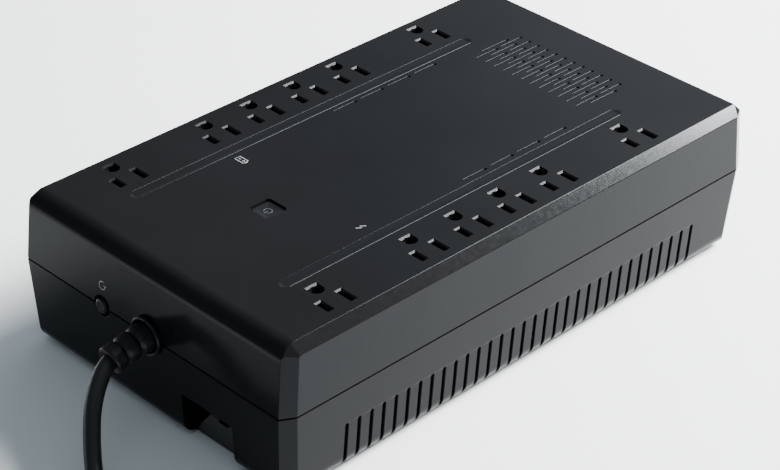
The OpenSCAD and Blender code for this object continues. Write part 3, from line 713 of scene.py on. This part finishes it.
def make_edge_lines():
    """Thin raised lips along the two long grooves and the short top lines."""
    verts, faces = [], []

    def lip(x, y0, y1, run, rise):
        b = len(verts)
        for y in (y0, y1):
            for dx, z in ((-run, TOP - 0.02), (0.0, TOP + rise), (run * 0.6, TOP - 0.02)):
                verts.append(Vector((x + dx, y, z)) * MM)
        faces.extend([(b, b + 1, b + 2), (b + 5, b + 4, b + 3), (b, b + 3, b + 4, b + 1), (b + 1, b + 4, b + 5, b + 2), (b + 2, b + 5, b + 3, b)])

    for gx in (-49.6, 49.6):
        lip(gx - 3.0, -98.2, 117.0, 0.17, 0.10)
        lip(gx + 3.1, -98.2, 117.0, 0.09, 0.055)
    for x in (-43.0, 43.0):
        for y0, y1 in ((-70.2, -55.2), (-51.9, -36.9), (-33.4, -18.4), (-15.3, -0.3)):
            lip(x + 0.7, y0 + 1.4, y1, 0.10, 0.06)
    for k in range(12):
        lip(33.0 - 6.0 * k + 0.7, -120.5, -107.2, 0.10, 0.06)
        lip(33.0 - 6.0 * k + 0.7, -102.8, -89.4, 0.10, 0.06)
    for k in range(13):
        lip(36.0 - 6.0 * k + 0.7, -113.6, -96.6, 0.10, 0.06)
    o = mesh_object("edge_lines", verts, faces, smooth=False)
    bm = bmesh.new(); bm.from_mesh(o.data); bmesh.ops.recalc_face_normals(bm, faces=bm.faces); bm.to_mesh(o.data); bm.free()
    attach(o, "case")
    paint(o, M_COVER)
    return o


def make_marks():
    """Small plain pictograms in pale ink: a battery and a lightning stroke by the two rows, a turning arrow by the reset button."""
    verts, faces = [], []

    def stroke(points, width, place, closed=False):
        pts = [Vector((a, b, 0)) for a, b in points]
        n = len(pts)
        base = len(verts)
        for i, p in enumerate(pts):
            a = pts[i - 1] if (i > 0 or closed) else p
            c = pts[(i + 1) % n] if (i < n - 1 or closed) else p
            t = c - a
            t.normalize()
            nrm = Vector((-t.y, t.x, 0)) * (width / 2)
            for q in (p + nrm, p - nrm):
                for h in (0.005, 0.03):
                    verts.append(place(q.x, q.y, h))
        for i in range(n if closed else n - 1):
            b, c = base + i * 4, base + ((i + 1) % n) * 4
            faces.extend([(b + 1, c + 1, c + 3, b + 3), (b, b + 2, c + 2, c), (b, c, c + 1, b + 1), (b + 2, b + 3, c + 3, c + 2)])
        if not closed:
            e = base + (n - 1) * 4
            faces.extend([(base, base + 1, base + 3, base + 2), (e, e + 2, e + 3, e + 1)])

    def on_top(cx, cy):
        # upright for somebody at the rear end
        return lambda a, b, h: Vector((cx - a, cy - b, TOP + h)) * MM

    def on_rear(cx, cz):
        return lambda a, b, h: Vector((cx - a, 153.6 - (cz + b - 46.3) * 0.0785 + h + 0.02, cz + b)) * MM

    place = on_top(39.5, 62.0)
    stroke([(-3.2, -1.6), (2.6, -1.6), (2.6, 1.6), (-3.2, 1.6)], 0.34, place, True)
    stroke([(3.1, -0.75), (3.1, 0.75)], 0.5, place)
    stroke([(-2.1, 0), (-0.7, 0)], 0.34, place)
    stroke([(0.5, 0), (1.9, 0)], 0.34, place)
    stroke([(1.2, -0.7), (1.2, 0.7)], 0.34, place)
    place = on_top(-39.5, 62.0)
    stroke([(0.9, 2.4), (-0.9, 0.1), (0.7, -0.1), (-0.9, -2.4)], 0.42, place)
    place = on_rear(31.3, 57.0)
    arc = [(2.0 * math.cos(math.radians(a)), 2.0 * math.sin(math.radians(a))) for a in range(60, 361, 15)]
    stroke(arc, 0.34, place)
    stroke([(1.15, 0.55), (2.0, -0.25), (2.85, 0.55)], 0.34, place)
    o = mesh_object("printed_marks", verts, faces, smooth=False)
    bm = bmesh.new(); bm.from_mesh(o.data); bmesh.ops.recalc_face_normals(bm, faces=bm.faces); bm.to_mesh(o.data); bm.free()
    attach(o, "case")
    paint(o, M_MARK)
    return o


make_edge_lines()
make_marks()

# ------------------------------------------------------------------ studio
def make_stage():
    s = 3.0
    floor = mesh_object("studio_floor", [(-s, -s, 0), (s, -s, 0), (s, s, 0), (-s, s, 0)], [(0, 1, 2, 3)], smooth=False)
    m, nt, b = new_material("floor_paper")
    v = coords(nt)
    n1 = noise(nt, v, 3.0, 3.0)
    nt.links.new(ramp(nt, n1, [(0.3, (0.86, 0.88, 0.89)), (0.7, (0.88, 0.90, 0.91))]), b.inputs["Base Color"])
    b.inputs["Roughness"].default_value = 0.75
    floor.data.materials.append(m)
    world = bpy.data.worlds.new("studio")
    bpy.context.scene.world = world
    world.use_nodes = True
    wt = world.node_tree
    bg = wt.nodes["Background"]
    bg.inputs["Color"].default_value = (0.80, 0.92, 1.0, 1)
    # a darker room with one paler patch low behind the far end
    way = wt.nodes.new("ShaderNodeTexCoord").outputs["Generated"]
    dot = wt.nodes.new("ShaderNodeVectorMath")
    dot.operation = "DOT_PRODUCT"
    dot.inputs[1].default_value = (0.157, -0.893, 0.423)
    wt.links.new(way, dot.inputs[0])
    patch = wt.nodes.new("ShaderNodeMapRange")
    patch.interpolation_type = "SMOOTHSTEP"
    patch.inputs["From Min"].default_value = 0.83
    patch.inputs["From Max"].default_value = 0.93
    patch.inputs["To Min"].default_value = 0.34
    patch.inputs["To Max"].default_value = 1.2
    wt.links.new(dot.outputs["Value"], patch.inputs["Value"])
    wt.links.new(patch.outputs["Result"], bg.inputs["Strength"])

    def area(name, place, target, size, size_y, power, colour=(1, 1, 1)):
        d = bpy.data.lights.new(name, "AREA")
        d.shape = "RECTANGLE"
        d.size, d.size_y = size, size_y
        d.energy = power
        d.color = colour
        o = link(bpy.data.objects.new(name, d))
        o.location = place
        o.rotation_mode = "QUATERNION"
        o.rotation_quaternion = (Vector(target) - Vector(place)).to_track_quat("-Z", "Y")
        return o

    aim = Vector((-0.085, -0.075, 0.078))

    def out(az, el, dist):
        a, e = math.radians(az), math.radians(el)
        return aim + Vector((math.sin(a) * math.cos(e), -math.cos(a) * math.cos(e), math.sin(e))) * dist

    # key: its left edge is seen from the bevel at an azimuth of about -36 degrees
    area("key_light", out(-17.5, 40.0, 1.8), aim, 0.88, 1.06, 150.0, (1.0, 0.995, 0.985))
    area("key_core", out(-21.5, 32.0, 1.76), aim, 0.66, 0.22, 108.0, (1.0, 0.995, 0.985))
    area("camera_fill", (-0.45, 0.75, 1.65), (0.0, 0.1, 0.0), 1.2, 1.2, 1.8, (0.80, 0.92, 1.0))


make_stage()
